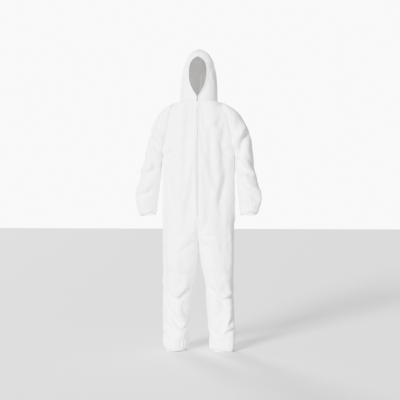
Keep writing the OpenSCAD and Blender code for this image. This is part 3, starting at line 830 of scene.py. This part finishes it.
def nonwoven(name, light, dark, roughness=0.62, crinkle=1.0):
    """Spunbonded cloth: rows of small embossed points, clumped fibres and fine crinkles."""
    material, nodes, links, shader = new_material(name, light, roughness)
    points = nodes.new("ShaderNodeTexVoronoi")
    points.voronoi_dimensions = "2D"
    points.inputs["Scale"].default_value = 1
    points.inputs["Randomness"].default_value = 0
    links.new(flat_vector(nodes, links, 1000 / POINT_PITCH, math.pi / 4), points.inputs["Vector"])
    pits = remap(nodes, links, points.outputs["Distance"], 0.16, 0.34, 0, 1)
    fibres = mottle(nodes, links, flat_vector(nodes, links, 700), 4, 0.65)
    clumps = mottle(nodes, links, flat_vector(nodes, links, 60), 3)
    creases = mottle(nodes, links, flat_vector(nodes, links, 34), 5, 0.6)
    colour = tint(nodes, links, clumps, dark, light)
    links.new(colour, shader.inputs["Base Color"])
    rough = remap(nodes, links, fibres, 0.2, 0.8, roughness - 0.07, roughness + 0.1)
    links.new(rough, shader.inputs["Roughness"])
    relief(nodes, links, [(creases, 5, 0.35 * crinkle), (pits, 0.05, 0.35), (fibres, 0.06, 0.3)], shader)
    shader.inputs["Sheen Weight"].default_value = 0.12
    shader.inputs["Sheen Roughness"].default_value = 0.4
    shader.inputs["Specular IOR Level"].default_value = 0.35
    return material


def banded(name, light, dark, per_metre, roughness, depth):
    """Thread or woven tape: ribs across its length with a slight unevenness. Its colour follows the ribs'
    height, as painted shade that is darker in their hollows.
    """
    material, nodes, links, shader = new_material(name, light, roughness)
    wave = nodes.new("ShaderNodeTexWave")
    wave.bands_direction = "X"
    wave.inputs["Scale"].default_value = 1
    wave.inputs["Distortion"].default_value = 0.6
    wave.inputs["Detail Scale"].default_value = 2
    links.new(flat_vector(nodes, links, per_metre / 6.28), wave.inputs["Vector"])
    worn = mottle(nodes, links, flat_vector(nodes, links, 300), 3)
    mixed = nodes.new("ShaderNodeMath")
    mixed.operation = "MULTIPLY"
    links.new(wave.outputs["Fac"], mixed.inputs[0])
    links.new(remap(nodes, links, worn, 0.3, 0.7, 0.6, 1), mixed.inputs[1])
    # Painted shade: the colour darkens with the ribs' height into their hollows. The worn mottle adds an
    # uneven tone of its own.
    links.new(tint(nodes, links, mixed.outputs[0], dark, light), shader.inputs["Base Color"])
    relief(nodes, links, [(mixed.outputs[0], depth, 0.6)], shader)
    shader.inputs["Sheen Weight"].default_value = 0.1
    return material


def painted_metal(name, colour, edge):
    """Enamelled zinc: a glossy coat with fine unevenness, worn greyer in spots."""
    material, nodes, links, shader = new_material(name, colour, 0.32)
    place = nodes.new("ShaderNodeTexCoord")
    scratches = nodes.new("ShaderNodeTexNoise")
    scratches.inputs["Scale"].default_value = 900
    scratches.inputs["Detail"].default_value = 4
    links.new(place.outputs["Object"], scratches.inputs["Vector"])
    spots = remap(nodes, links, scratches.outputs["Fac"], 0.56, 0.7, 0, 1)
    links.new(tint(nodes, links, spots, colour, edge), shader.inputs["Base Color"])
    rough = remap(nodes, links, scratches.outputs["Fac"], 0.3, 0.7, 0.26, 0.42)
    links.new(rough, shader.inputs["Roughness"])
    relief(nodes, links, [(scratches.outputs["Fac"], 0.05, 0.3)], shader)
    shader.inputs["Metallic"].default_value = 0.25
    shader.inputs["Coat Weight"].default_value = 0.3
    return material


def coil_plastic(name, colour):
    material, nodes, links, shader = new_material(name, colour, 0.38)
    grain = mottle(nodes, links, flat_vector(nodes, links, 900), 3)
    shade = tuple(c * 0.9 for c in colour)
    links.new(tint(nodes, links, grain, shade, colour), shader.inputs["Base Color"])
    links.new(remap(nodes, links, grain, 0.3, 0.7, 0.32, 0.48), shader.inputs["Roughness"])
    relief(nodes, links, [(grain, 0.05, 0.4)], shader)
    return material


CLOTH = nonwoven("nonwoven_outside", (0.86, 0.865, 0.87), (0.82, 0.825, 0.835))
# Painted shade: the inside faces take a greyer, darker copy of the outer cloth for the shade inside the
# suit and hood. Its rougher, softer crinkle is the cloth's own.
SHADED_LINING = nonwoven("nonwoven_inside_painted_shade", (0.74, 0.735, 0.73), (0.69, 0.68, 0.675), 0.75, 0.6)
HEM = nonwoven("nonwoven_hem", (0.85, 0.855, 0.86), (0.79, 0.795, 0.805), 0.65, 1.4)
THREAD = banded("overlock_thread", (0.87, 0.875, 0.885), (0.66, 0.67, 0.69), 420, 0.6, 0.25)
ELASTIC = banded("elastic_band", (0.8, 0.8, 0.8), (0.6, 0.6, 0.61), 900, 0.55, 0.2)
TAPE = banded("zip_tape_weave", (0.82, 0.86, 0.89), (0.72, 0.77, 0.81), 1100, 0.6, 0.12)
COIL = coil_plastic("zip_coil_nylon", (0.8, 0.84, 0.87))
METAL = painted_metal("zip_enamel", (0.78, 0.82, 0.85), (0.5, 0.52, 0.54))


# ---- camera, floor and light ---------------------------------------------------------------

for leftover in ("Cube", "Camera", "Light"):
    if leftover in bpy.data.objects:
        bpy.data.objects.remove(bpy.data.objects[leftover])

VIEW_TARGET = Vector((0.0058, 0, 0.876))
VIEW_DISTANCE = 5.6
VIEW_AZIMUTH, VIEW_ELEVATION = math.radians(4), math.radians(1.2)
FRAME_WIDTH = 2.324       # width of what the camera sees at the suit
SKY_LIGHT, SKY_SEEN = 0.25, 10    # strength of the white studio as light, and as seen behind the suit


def aimed(thing, place, target):
    thing.location = place
    thing.rotation_euler = (Vector(target) - Vector(place)).to_track_quat("-Z", "Y").to_euler()
    bpy.context.scene.collection.objects.link(thing)


def add_camera():
    data = bpy.data.cameras.new("camera")
    camera = bpy.data.objects.new("camera", data)
    away = Vector((math.sin(VIEW_AZIMUTH) * math.cos(VIEW_ELEVATION),
                   -math.cos(VIEW_AZIMUTH) * math.cos(VIEW_ELEVATION), math.sin(VIEW_ELEVATION)))
    aimed(camera, VIEW_TARGET + away * VIEW_DISTANCE, VIEW_TARGET)
    data.lens = data.sensor_width * VIEW_DISTANCE / FRAME_WIDTH
    bpy.context.scene.camera = camera


def soft_sun(name, place, strength, angle, colour=(1, 1, 1)):
    data = bpy.data.lights.new(name, "SUN")
    data.energy, data.angle, data.color = strength, math.radians(angle), colour
    aimed(bpy.data.objects.new(name, data), place, (0, 0, 0.9))


def add_studio():
    """A pale floor under a white sky, and three soft suns."""
    floor, nodes, links, shader = new_material("studio_floor", (0.68, 0.68, 0.68), 0.9)
    haze = mottle(nodes, links, flat_vector(nodes, links, 1), 2)
    shade = tint(nodes, links, haze, (0.67, 0.67, 0.67), (0.69, 0.69, 0.69))
    links.new(shade, shader.inputs["Base Color"])
    half = 14    # metres from the floor's middle to its edge
    corners = [(-half, -half, 0), (half, -half, 0), (half, half, 0), (-half, half, 0)]
    new_mesh("floor", corners, [(0, 1, 2, 3)], [floor], np.array(corners)[:, :2])
    world = bpy.data.worlds.new("studio")
    world.use_nodes = True
    nodes, links = world.node_tree.nodes, world.node_tree.links
    sky, ray = nodes["Background"], nodes.new("ShaderNodeLightPath")
    sky.inputs["Color"].default_value = (1, 1, 1, 1)
    strength = remap(nodes, links, ray.outputs["Is Camera Ray"], 0, 1, SKY_LIGHT, SKY_SEEN)
    links.new(strength, sky.inputs["Strength"])
    bpy.context.scene.world = world
    soft_sun("key", (-2.2, -4.4, 2.3), 20, 18, (1, 0.997, 0.99))
    soft_sun("fill", (3.4, -3.6, 1.2), 0.9, 40, (0.88, 0.94, 1))
    soft_sun("back_light", (-2.2, 4.4, 2.3), 10, 18)


# ---- building the suit ---------------------------------------------------------------------

# How many finer rows and columns each of the simulation's own becomes
ROW_FINE = {"front": 1, "back": 1, "sleeve": 1, "hood": 2}
COL_FINE = 2

# Gathers counted round each hem, as three overlaid waves
ANKLE_GATHERS, WRIST_GATHERS = (23, 34, 51), (17, 25, 38)

PIECE_NAMES = {"front": "front", "back": "back", "sleeve": "sleeve_cloth", "hood": "hood_half"}


def gathers(grid, flat, sign, part):
    """Small gathers that elastic pulls into the cloth, in millimetres out of its surface."""
    x, y, z = np.moveaxis(grid / MM, -1, 0)
    if part == "sleeve":
        turn = np.arctan2(x * sign - WRIST_X, -y)
        near = 1 - ease(z, WRIST_TOP + 6, WRIST_TOP + 85)
        return 2.6 * near * ease(z, WRIST_TOP - 2, WRIST_TOP + 10) * ripple(turn, WRIST_GATHERS, 1)
    if part == "hood":
        along = flat[:, :1, 1] / MM
        from_edge = flat[..., 0] / MM
        near = np.exp(-from_edge / 16) * (z < FACE_ROWS[-1][0]) * ease(z, NECK_H, NECK_H + 25)
        return 0.7 * near * np.cos(along / 3.6 + 1.5 * np.cos(along / 23))
    turn = np.arctan2(x * sign - ANKLE_X, -y)
    near = (1 - ease(z, HEM_H + 14, HEM_H + 105)) * ease(z, HEM_H - 2, HEM_H + 12)
    total = 3.4 * near * ripple(turn, ANKLE_GATHERS, 4)
    if part == "back":
        tall = 42 + 14 * np.cos(x / 11)
        waist = np.exp(-((z - WAIST_H) / tall) ** 2) * (1 - ease(np.abs(x), 150, 190))
        total = total + 2.4 * waist * np.cos(x / 4.6 + 2.2 * np.cos(x / 27 + 1))
    return total


class Panel:
    """A panel's settled surface on its finer grid."""

    def __init__(self, side, part, sign, settled, rest, index):
        self.name, self.sign, self.row_fine = f"{side}_{PIECE_NAMES[part]}", sign, ROW_FINE[part]
        if part == "sleeve":    # starts and ends at the underarm seam, not at the outer edge
            index = np.concatenate([index[:, ARMHOLE_STEPS:-1], index[:, :ARMHOLE_STEPS + 1]], axis=1)
        ring = part == "sleeve"
        self.grid = finer(settled[index], self.row_fine, COL_FINE, ring)
        self.flat_grid = finer(rest[index], self.row_fine, COL_FINE)
        self.normals = normals_of(self.grid, sign, ring)
        self.flat = flat_of(self.flat_grid)
        self.grid = self.grid + self.normals * (gathers(self.grid, self.flat, sign, part) * MM)[..., None]
        self.normals = normals_of(self.grid, sign, ring)

    def build(self, nodes):
        piece = shell(self.name, self.grid, self.normals, self.flat, self.sign, [CLOTH, SHADED_LINING])
        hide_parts(*nodes)
        return piece

    def cut(self):
        """Width, length and area of the flat cloth."""
        g = self.flat_grid
        width = np.linalg.norm(np.diff(g, axis=1), axis=-1).sum(axis=1).max()
        length = np.linalg.norm(np.diff(g, axis=0), axis=-1).sum(axis=0).max()
        across, up = g[1:, 1:] - g[:-1, :-1], g[1:, :-1] - g[:-1, 1:]
        area = np.linalg.norm(np.cross(across, up), axis=-1).sum() / 2
        return (float(width), float(length)), float(area)

    def column(self, col, low=0, high=None):
        """Points and normals up one column between two rows of the coarse grid."""
        rows = slice(low * self.row_fine, None if high is None else high * self.row_fine + 1)
        return self.grid[rows, col], self.normals[rows, col]


# Sections of a stitched seam and of a flat felled one: across and out, in millimetres
SEAM = [(-1.3, -2.5), (-1.35, 0.1), (-0.8, 0.75), (0, 0.95), (0.8, 0.75), (1.35, 0.1), (1.3, -2.5),
        (0, -5)]
FELLED = [(-4.5, -1.2), (-4.6, 0.2), (-3.2, 0.8), (-2.6, 0.5), (0, 0.75), (2.6, 0.5), (3.2, 0.8),
          (4.6, 0.2), (4.5, -1.2), (0, -1.6)]
STITCH_STEP = 0.0021      # half a stitch, in metres


def seam(name, path, outs, slot, nodes, section=SEAM, material=None, wrap=False):
    """A stitched seam: a low ridge whose top rises and falls with every stitch."""
    path, outs, _ = resampled(path, outs, STITCH_STEP)
    if wrap:
        path, outs = path[:-1], outs[:-1]
    swell = 1 + 0.22 * np.cos(math.pi * np.arange(len(path)))
    piece = sweep(name, path, outs, section, material or THREAD, wrap, swell)
    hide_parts(*nodes)
    return piece


def circle(r, n, flatten=1.0):
    """Section of a round thread or cord, n-sided."""
    turns = np.arange(n) * 2 * math.pi / n
    return [(r * math.cos(t), r * flatten * math.sin(t)) for t in turns]


def ripple(turn, counts, seed):
    """Uneven gathers round a ring, between about -1 and 1."""
    total = np.zeros_like(turn)
    for i, count in enumerate(counts):
        total = total + np.cos(count * turn + seed * (i + 1) * 1.7) / (i + 1)
    return total / 1.6


# Turned hem: how far out of the ring's radius, height, and how much of the gathers it takes
HEM_PROFILE = [(-0.3, 1.0, 1.0), (0.7, 1.1, 1.0), (1.3, 0.75, 1.0), (1.5, 0.4, 1.0), (1.2, 0.12, 1.0),
               (0.3, 0.0, 0.9), (-0.8, 0.02, 0.8), (-1.5, 0.2, 0.7), (-1.3, 0.6, 0.7), (-1.1, 0.95, 0.7)]


def hem(name, centre, radius, low, high, counts, seed, node):
    """A casing turned over the elastic, gathered all the way round."""
    turns = np.linspace(0, 2 * math.pi, 361)[:-1]
    gather = ripple(turns, counts, seed)
    profile = np.array(HEM_PROFILE)
    out = radius + profile[None, :, 0] + 1.3 * profile[None, :, 2] * gather[:, None]
    height = low + profile[None, :, 1] * (high - low) + np.zeros_like(out)
    x, y = centre + out * np.sin(turns)[:, None], -out * np.cos(turns)[:, None]
    points = np.stack([x, y, height], -1) * MM
    n, m = points.shape[:2]
    at = np.arange(n * m).reshape(n, m)
    there = np.roll(at, -1, 0)
    quads = np.stack([at, there, np.roll(there, -1, 1), np.roll(at, -1, 1)], -1).reshape(-1, 4)
    flat = np.stack([np.broadcast_to(turns[:, None] * radius * MM, (n, m)),
                     np.broadcast_to(np.linspace(0, 0.04, m), (n, m))], -1).reshape(-1, 2)
    piece = new_mesh(name, points.reshape(-1, 3), quads[:, ::-1].tolist(), [HEM], flat)
    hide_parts(node)
    return piece


def ribbed(width, thick, ribs):
    """Section of an elastic band that stands `width` high: ribs run along its length."""
    heights = np.linspace(-width / 2, width / 2, 2 * ribs + 1)
    outer = [(h, thick / 2 + (0.15 if i % 2 else 0)) for i, h in enumerate(heights)]
    return outer + [(h, -y) for h, y in outer[::-1]]


def elastic_ring(name, centre, radius, middle, width, counts, seed, node):
    """The ribbed elastic inside a hem, drawn in unevenly."""
    turns = np.linspace(0, 2 * math.pi, 241)[:-1]
    r = radius + 0.8 * ripple(turns, counts, seed)
    outs = np.stack([np.sin(turns), -np.cos(turns), np.zeros_like(turns)], -1)
    path = (outs * r[:, None] + [centre, 0, middle]) * MM
    piece = sweep(name, path, outs, ribbed(width, 0.9, 4), ELASTIC, wrap=True)
    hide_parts(node)
    return piece


def zip_tape(side):
    """Woven tape from the coil to under the cloth, with a corded edge."""
    low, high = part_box(f"zip_tape_{side}")
    inner, outer = sorted((low[0], high[0]), key=abs)
    mid_y = (COIL_FRONT + 2.2) * MM
    heights = np.arange(low[2], high[2] + 0.002, 0.004)
    heights[-1] = high[2]
    mid_x = (inner + outer) / 2
    path = np.stack([np.full_like(heights, mid_x), np.full_like(heights, mid_y), heights], -1)
    outs = np.tile([0.0, -1.0, 0.0], (len(path), 1))
    half = abs(outer - inner) / 2 / MM
    section = [(-half, -0.25), (-half, 0.25), (-half + 1.2, 0.4), (-half + 2, 0.22), (0, 0.25),
               (half - 2, 0.22), (half - 1.2, 0.4), (half, 0.25), (half, -0.25), (0, -0.25)]
    piece = sweep(f"zip_tape_{side}_woven", path, outs, section, TAPE)
    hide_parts(f"zip_tape_{side}")
    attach(piece, "torso")


COIL_PITCH = 1.5          # millimetres
COIL_TURN_STEPS = 7


def zip_coil(side, sign):
    """One coil of the zip, a flattened helix of nylon thread."""
    low, high = (np.array(corner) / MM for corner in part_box(f"zip_coil_{side}"))
    middle, reach = (low + high) / 2, (high - low) / 2
    turns = (high[2] - low[2]) / COIL_PITCH
    t = np.arange(0, turns, 1 / COIL_TURN_STEPS)
    angle = 2 * math.pi * t * sign
    depth = 0.75
    centre_y = low[1] + depth + 0.35
    outs = np.stack([np.cos(angle), np.sin(angle), np.zeros_like(t)], -1)
    path = np.stack([middle[0] + (reach[0] + 0.3) * np.cos(angle), centre_y + depth * np.sin(angle),
                     low[2] + 0.4 + t / turns * (high[2] - low[2] - 0.8)], -1) * MM
    piece = sweep(f"zip_coil_{side}_nylon", path, outs, circle(0.33, 4), COIL)
    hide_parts(f"zip_coil_{side}")
    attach(piece, "torso")


def bevelled(node, material, width):
    """A CAD piece kept as it is, with its edges eased."""
    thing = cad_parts[node]
    thing.data.materials.clear()
    thing.data.materials.append(material)
    bevel = thing.modifiers.new("eased edges", "BEVEL")
    bevel.width = width * MM
    bevel.segments = 2
    bevel.limit_method = "ANGLE"


def soft_sum(first, second):
    """Points halfway between two matching edges, with the sum of their outward directions."""
    return (first[0] + second[0]) / 2, unit(first[1] + second[1])


def joined(*runs):
    """Several runs of (points, outs) end to end."""
    return np.concatenate([r[0] for r in runs]), np.concatenate([r[1] for r in runs])


def backwards(run):
    return run[0][::-1], run[1][::-1]


def build_panels(settled, rest, numbers):
    """The eight panels, each built as a closed shell of cloth in place of its CAD nodes."""
    slots = {"front": "body_fabric", "back": "body_fabric", "sleeve": "sleeve_fabric",
             "hood": "hood_fabric"}
    panels, pieces = {}, {}
    for side, sign in SIDES:
        for part, slot in slots.items():
            name = f"{side}_{part}"
            panel = panels[name] = Panel(side, part, sign, settled, rest, numbers[name])
            nodes = {"front": [f"{side}_front_panel", f"{side}_leg_front"],
                     "back": [f"{side}_back_panel", f"{side}_leg_back"],
                     "sleeve": [f"{side}_sleeve"], "hood": [f"hood_{side}_panel"]}[part]
            piece = pieces[name] = panel.build(nodes)
    return panels, pieces


def bound(name, run, *nodes, **more):
    """A seam bound with thread along a run of (points, outs)."""
    return seam(name, *run, "seam_binding", nodes, **more)


def build_side_seams(panels, side, sign):
    """One side's seams as (piece, body it follows) pairs."""
    last = len(ROW_CENTRES) - 1
    front, back, sleeve = (panels[f"{side}_{part}"] for part in ("front", "back", "sleeve"))
    flank = soft_sum(front.column(-1, 0, ARMPIT_ROW), back.column(0, 0, ARMPIT_ROW))
    inner = soft_sum(front.column(0, 0, CROTCH_ROW), back.column(-1, 0, CROTCH_ROW))
    ridge = soft_sum(front.column(-1, SHOULDER_ROW, last), back.column(0, SHOULDER_ROW, last))
    underarm = sleeve.column(0)[0], unit(sleeve.column(0)[1] + sleeve.column(-1)[1])
    tilt = unit(np.array([sign * 1.0, 0, 0.2]))
    ring = sleeve.grid[0], unit(sleeve.normals[0] + 0.3 * tilt)
    leg, arm = f"{side}_leg", f"{side}_sleeve"
    return [
        (bound(f"{side}_long_seam", flank, f"{side}_side_seam", f"{side}_outseam"), leg),
        (bound(f"{side}_inner_leg_seam", inner, f"{side}_inseam"), leg),
        (bound(f"{side}_shoulder_stitching", ridge, f"{side}_shoulder_seam"), "torso"),
        (bound(f"{side}_underarm_stitching", underarm, f"{side}_underarm_seam"), arm),
        (bound(f"{side}_armhole_stitching", ring, f"{side}_armhole_seam", wrap=True), "torso"),
    ]


def build_middle_seams(panels):
    """The seams that both sides share, as (piece, body it follows) pairs."""
    last = len(ROW_CENTRES) - 1
    fronts, backs, hoods = ([panels[f"{side}_{part}"] for side, _ in SIDES]
                            for part in ("front", "back", "hood"))
    rise = soft_sum(*(p.column(0, CROTCH_ROW, ZIP_ROW) for p in fronts))
    centre = soft_sum(*(p.column(-1, CROTCH_ROW, last) for p in backs))
    left, right = hoods
    neck = joined((left.grid[0], left.normals[0]), backwards((right.grid[0], right.normals[0])))
    crown = joined(soft_sum(left.column(0, FACE_ROW), right.column(0, FACE_ROW)),
                   backwards(soft_sum(left.column(-1), right.column(-1))))
    return [
        (bound("front_rise_seam", rise, "crotch_seam"), "torso"),
        (bound("back_centre_stitching", centre, "centre_back_seam"), "torso"),
        (bound("neck_stitching", neck, "neck_seam"), "torso"),
        (bound("hood_crown_seam", crown, "hood_centre_seam", section=FELLED, material=CLOTH), "hood"),
    ]


def build_face_hem(panels):
    """Rolled hem round the face, over its elastic: small even gathers."""
    left, right = panels["left_hood"], panels["right_hood"]
    run = joined(left.column(0, 0, FACE_ROW), backwards(right.column(0, 0, FACE_ROW)))
    path, outs, along = resampled(*run, 0.0022)
    ruffle = 1 + 0.14 * np.cos(along / 0.0034 + np.cos(along / 0.021) * 2)
    piece = sweep("face_opening_hem", path - outs * 0.0012, outs, circle(2.8, 10, 0.9), HEM, swell=ruffle)
    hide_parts("face_elastic_hem")
    return piece


def build_cuffs():
    """The casing and the elastic at both wrists and both ankles."""
    wrist_low = WRIST_TOP - HEM_H
    for side, sign in SIDES:
        for part, x, radius, low, counts, seed in (
                ("wrist", WRIST_X, WRIST_R, wrist_low, WRIST_GATHERS, 1 + sign),
                ("ankle", ANKLE_X, ANKLE_R, 0, ANKLE_GATHERS, 4 + sign)):
            body = f"{side}_sleeve" if part == "wrist" else f"{side}_leg"
            cuff = hem(f"{side}_{part}_casing", x * sign, radius - 2, low, low + HEM_H, counts, seed,
                       f"{side}_{part}_hem")
            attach(cuff, body)
            band = elastic_ring(f"{side}_{part}_band", x * sign, radius - 2.2, low + HEM_H / 2, HEM_H - 6,
                                counts, seed, f"{side}_{part}_elastic")
            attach(band, body)


def build_waist(panels):
    """Elastic band sewn inside the back at the waist."""
    skip = 5 * COL_FINE    # the band stops short of the side seams
    runs = []
    for side, _ in SIDES:
        back = panels[f"{side}_back"]
        outs = back.normals[WAIST_ROW, skip:]
        runs.append((back.grid[WAIST_ROW, skip:] - outs * 0.0018, outs))
    path, outs, _ = resampled(*joined(runs[0], backwards(runs[1])), 0.003)
    band = sweep("waist_band", path, outs, ribbed(9, 1, 5), ELASTIC)
    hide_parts("waist_elastic")
    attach(band, "torso")


def build_zip():
    """Tapes, coils and the CAD's own metal and plastic parts."""
    for side, sign in SIDES:
        zip_tape(side)
        zip_coil(side, sign)
    bevelled("zip_top_stops", COIL, 0.3)
    bevelled("zip_bottom_stop", COIL, 0.4)
    bevelled("zip_slider", METAL, 0.22)
    bevelled("zip_pull", METAL, 0.2)


def bend_at(piece, body):
    """Rides a piece on the torso; any other piece only has its transform baked into its mesh."""
    if body == "torso":
        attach(piece, "torso")
    elif body == "hood":
        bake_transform(piece)
    elif "leg" in body:
        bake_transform(piece)
    else:
        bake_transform(piece)


def main():
    add_camera()
    add_studio()
    whole, rest, numbers = garment()
    start = points_of(whole.data)
    settled = start
    start, settled = crease(whole, rest, holds(start, numbers))
    settled = tamed(start, calmed(start, settled))
    settled = overhung(settled, numbers)
    bpy.data.objects.remove(whole)
    panels, pieces = build_panels(settled, rest, numbers)
    for name, piece in pieces.items():
        side, part = name.split("_")
        bend_at(piece, {"sleeve": f"{side}_sleeve", "hood": "hood"}.get(part, f"{side}_leg"))
    for side, sign in SIDES:
        for piece, body in build_side_seams(panels, side, sign):
            bend_at(piece, body)
    for piece, body in build_middle_seams(panels):
        bend_at(piece, body)
    bend_at(build_face_hem(panels), "hood")
    build_cuffs()
    build_waist(panels)
    build_zip()


main()
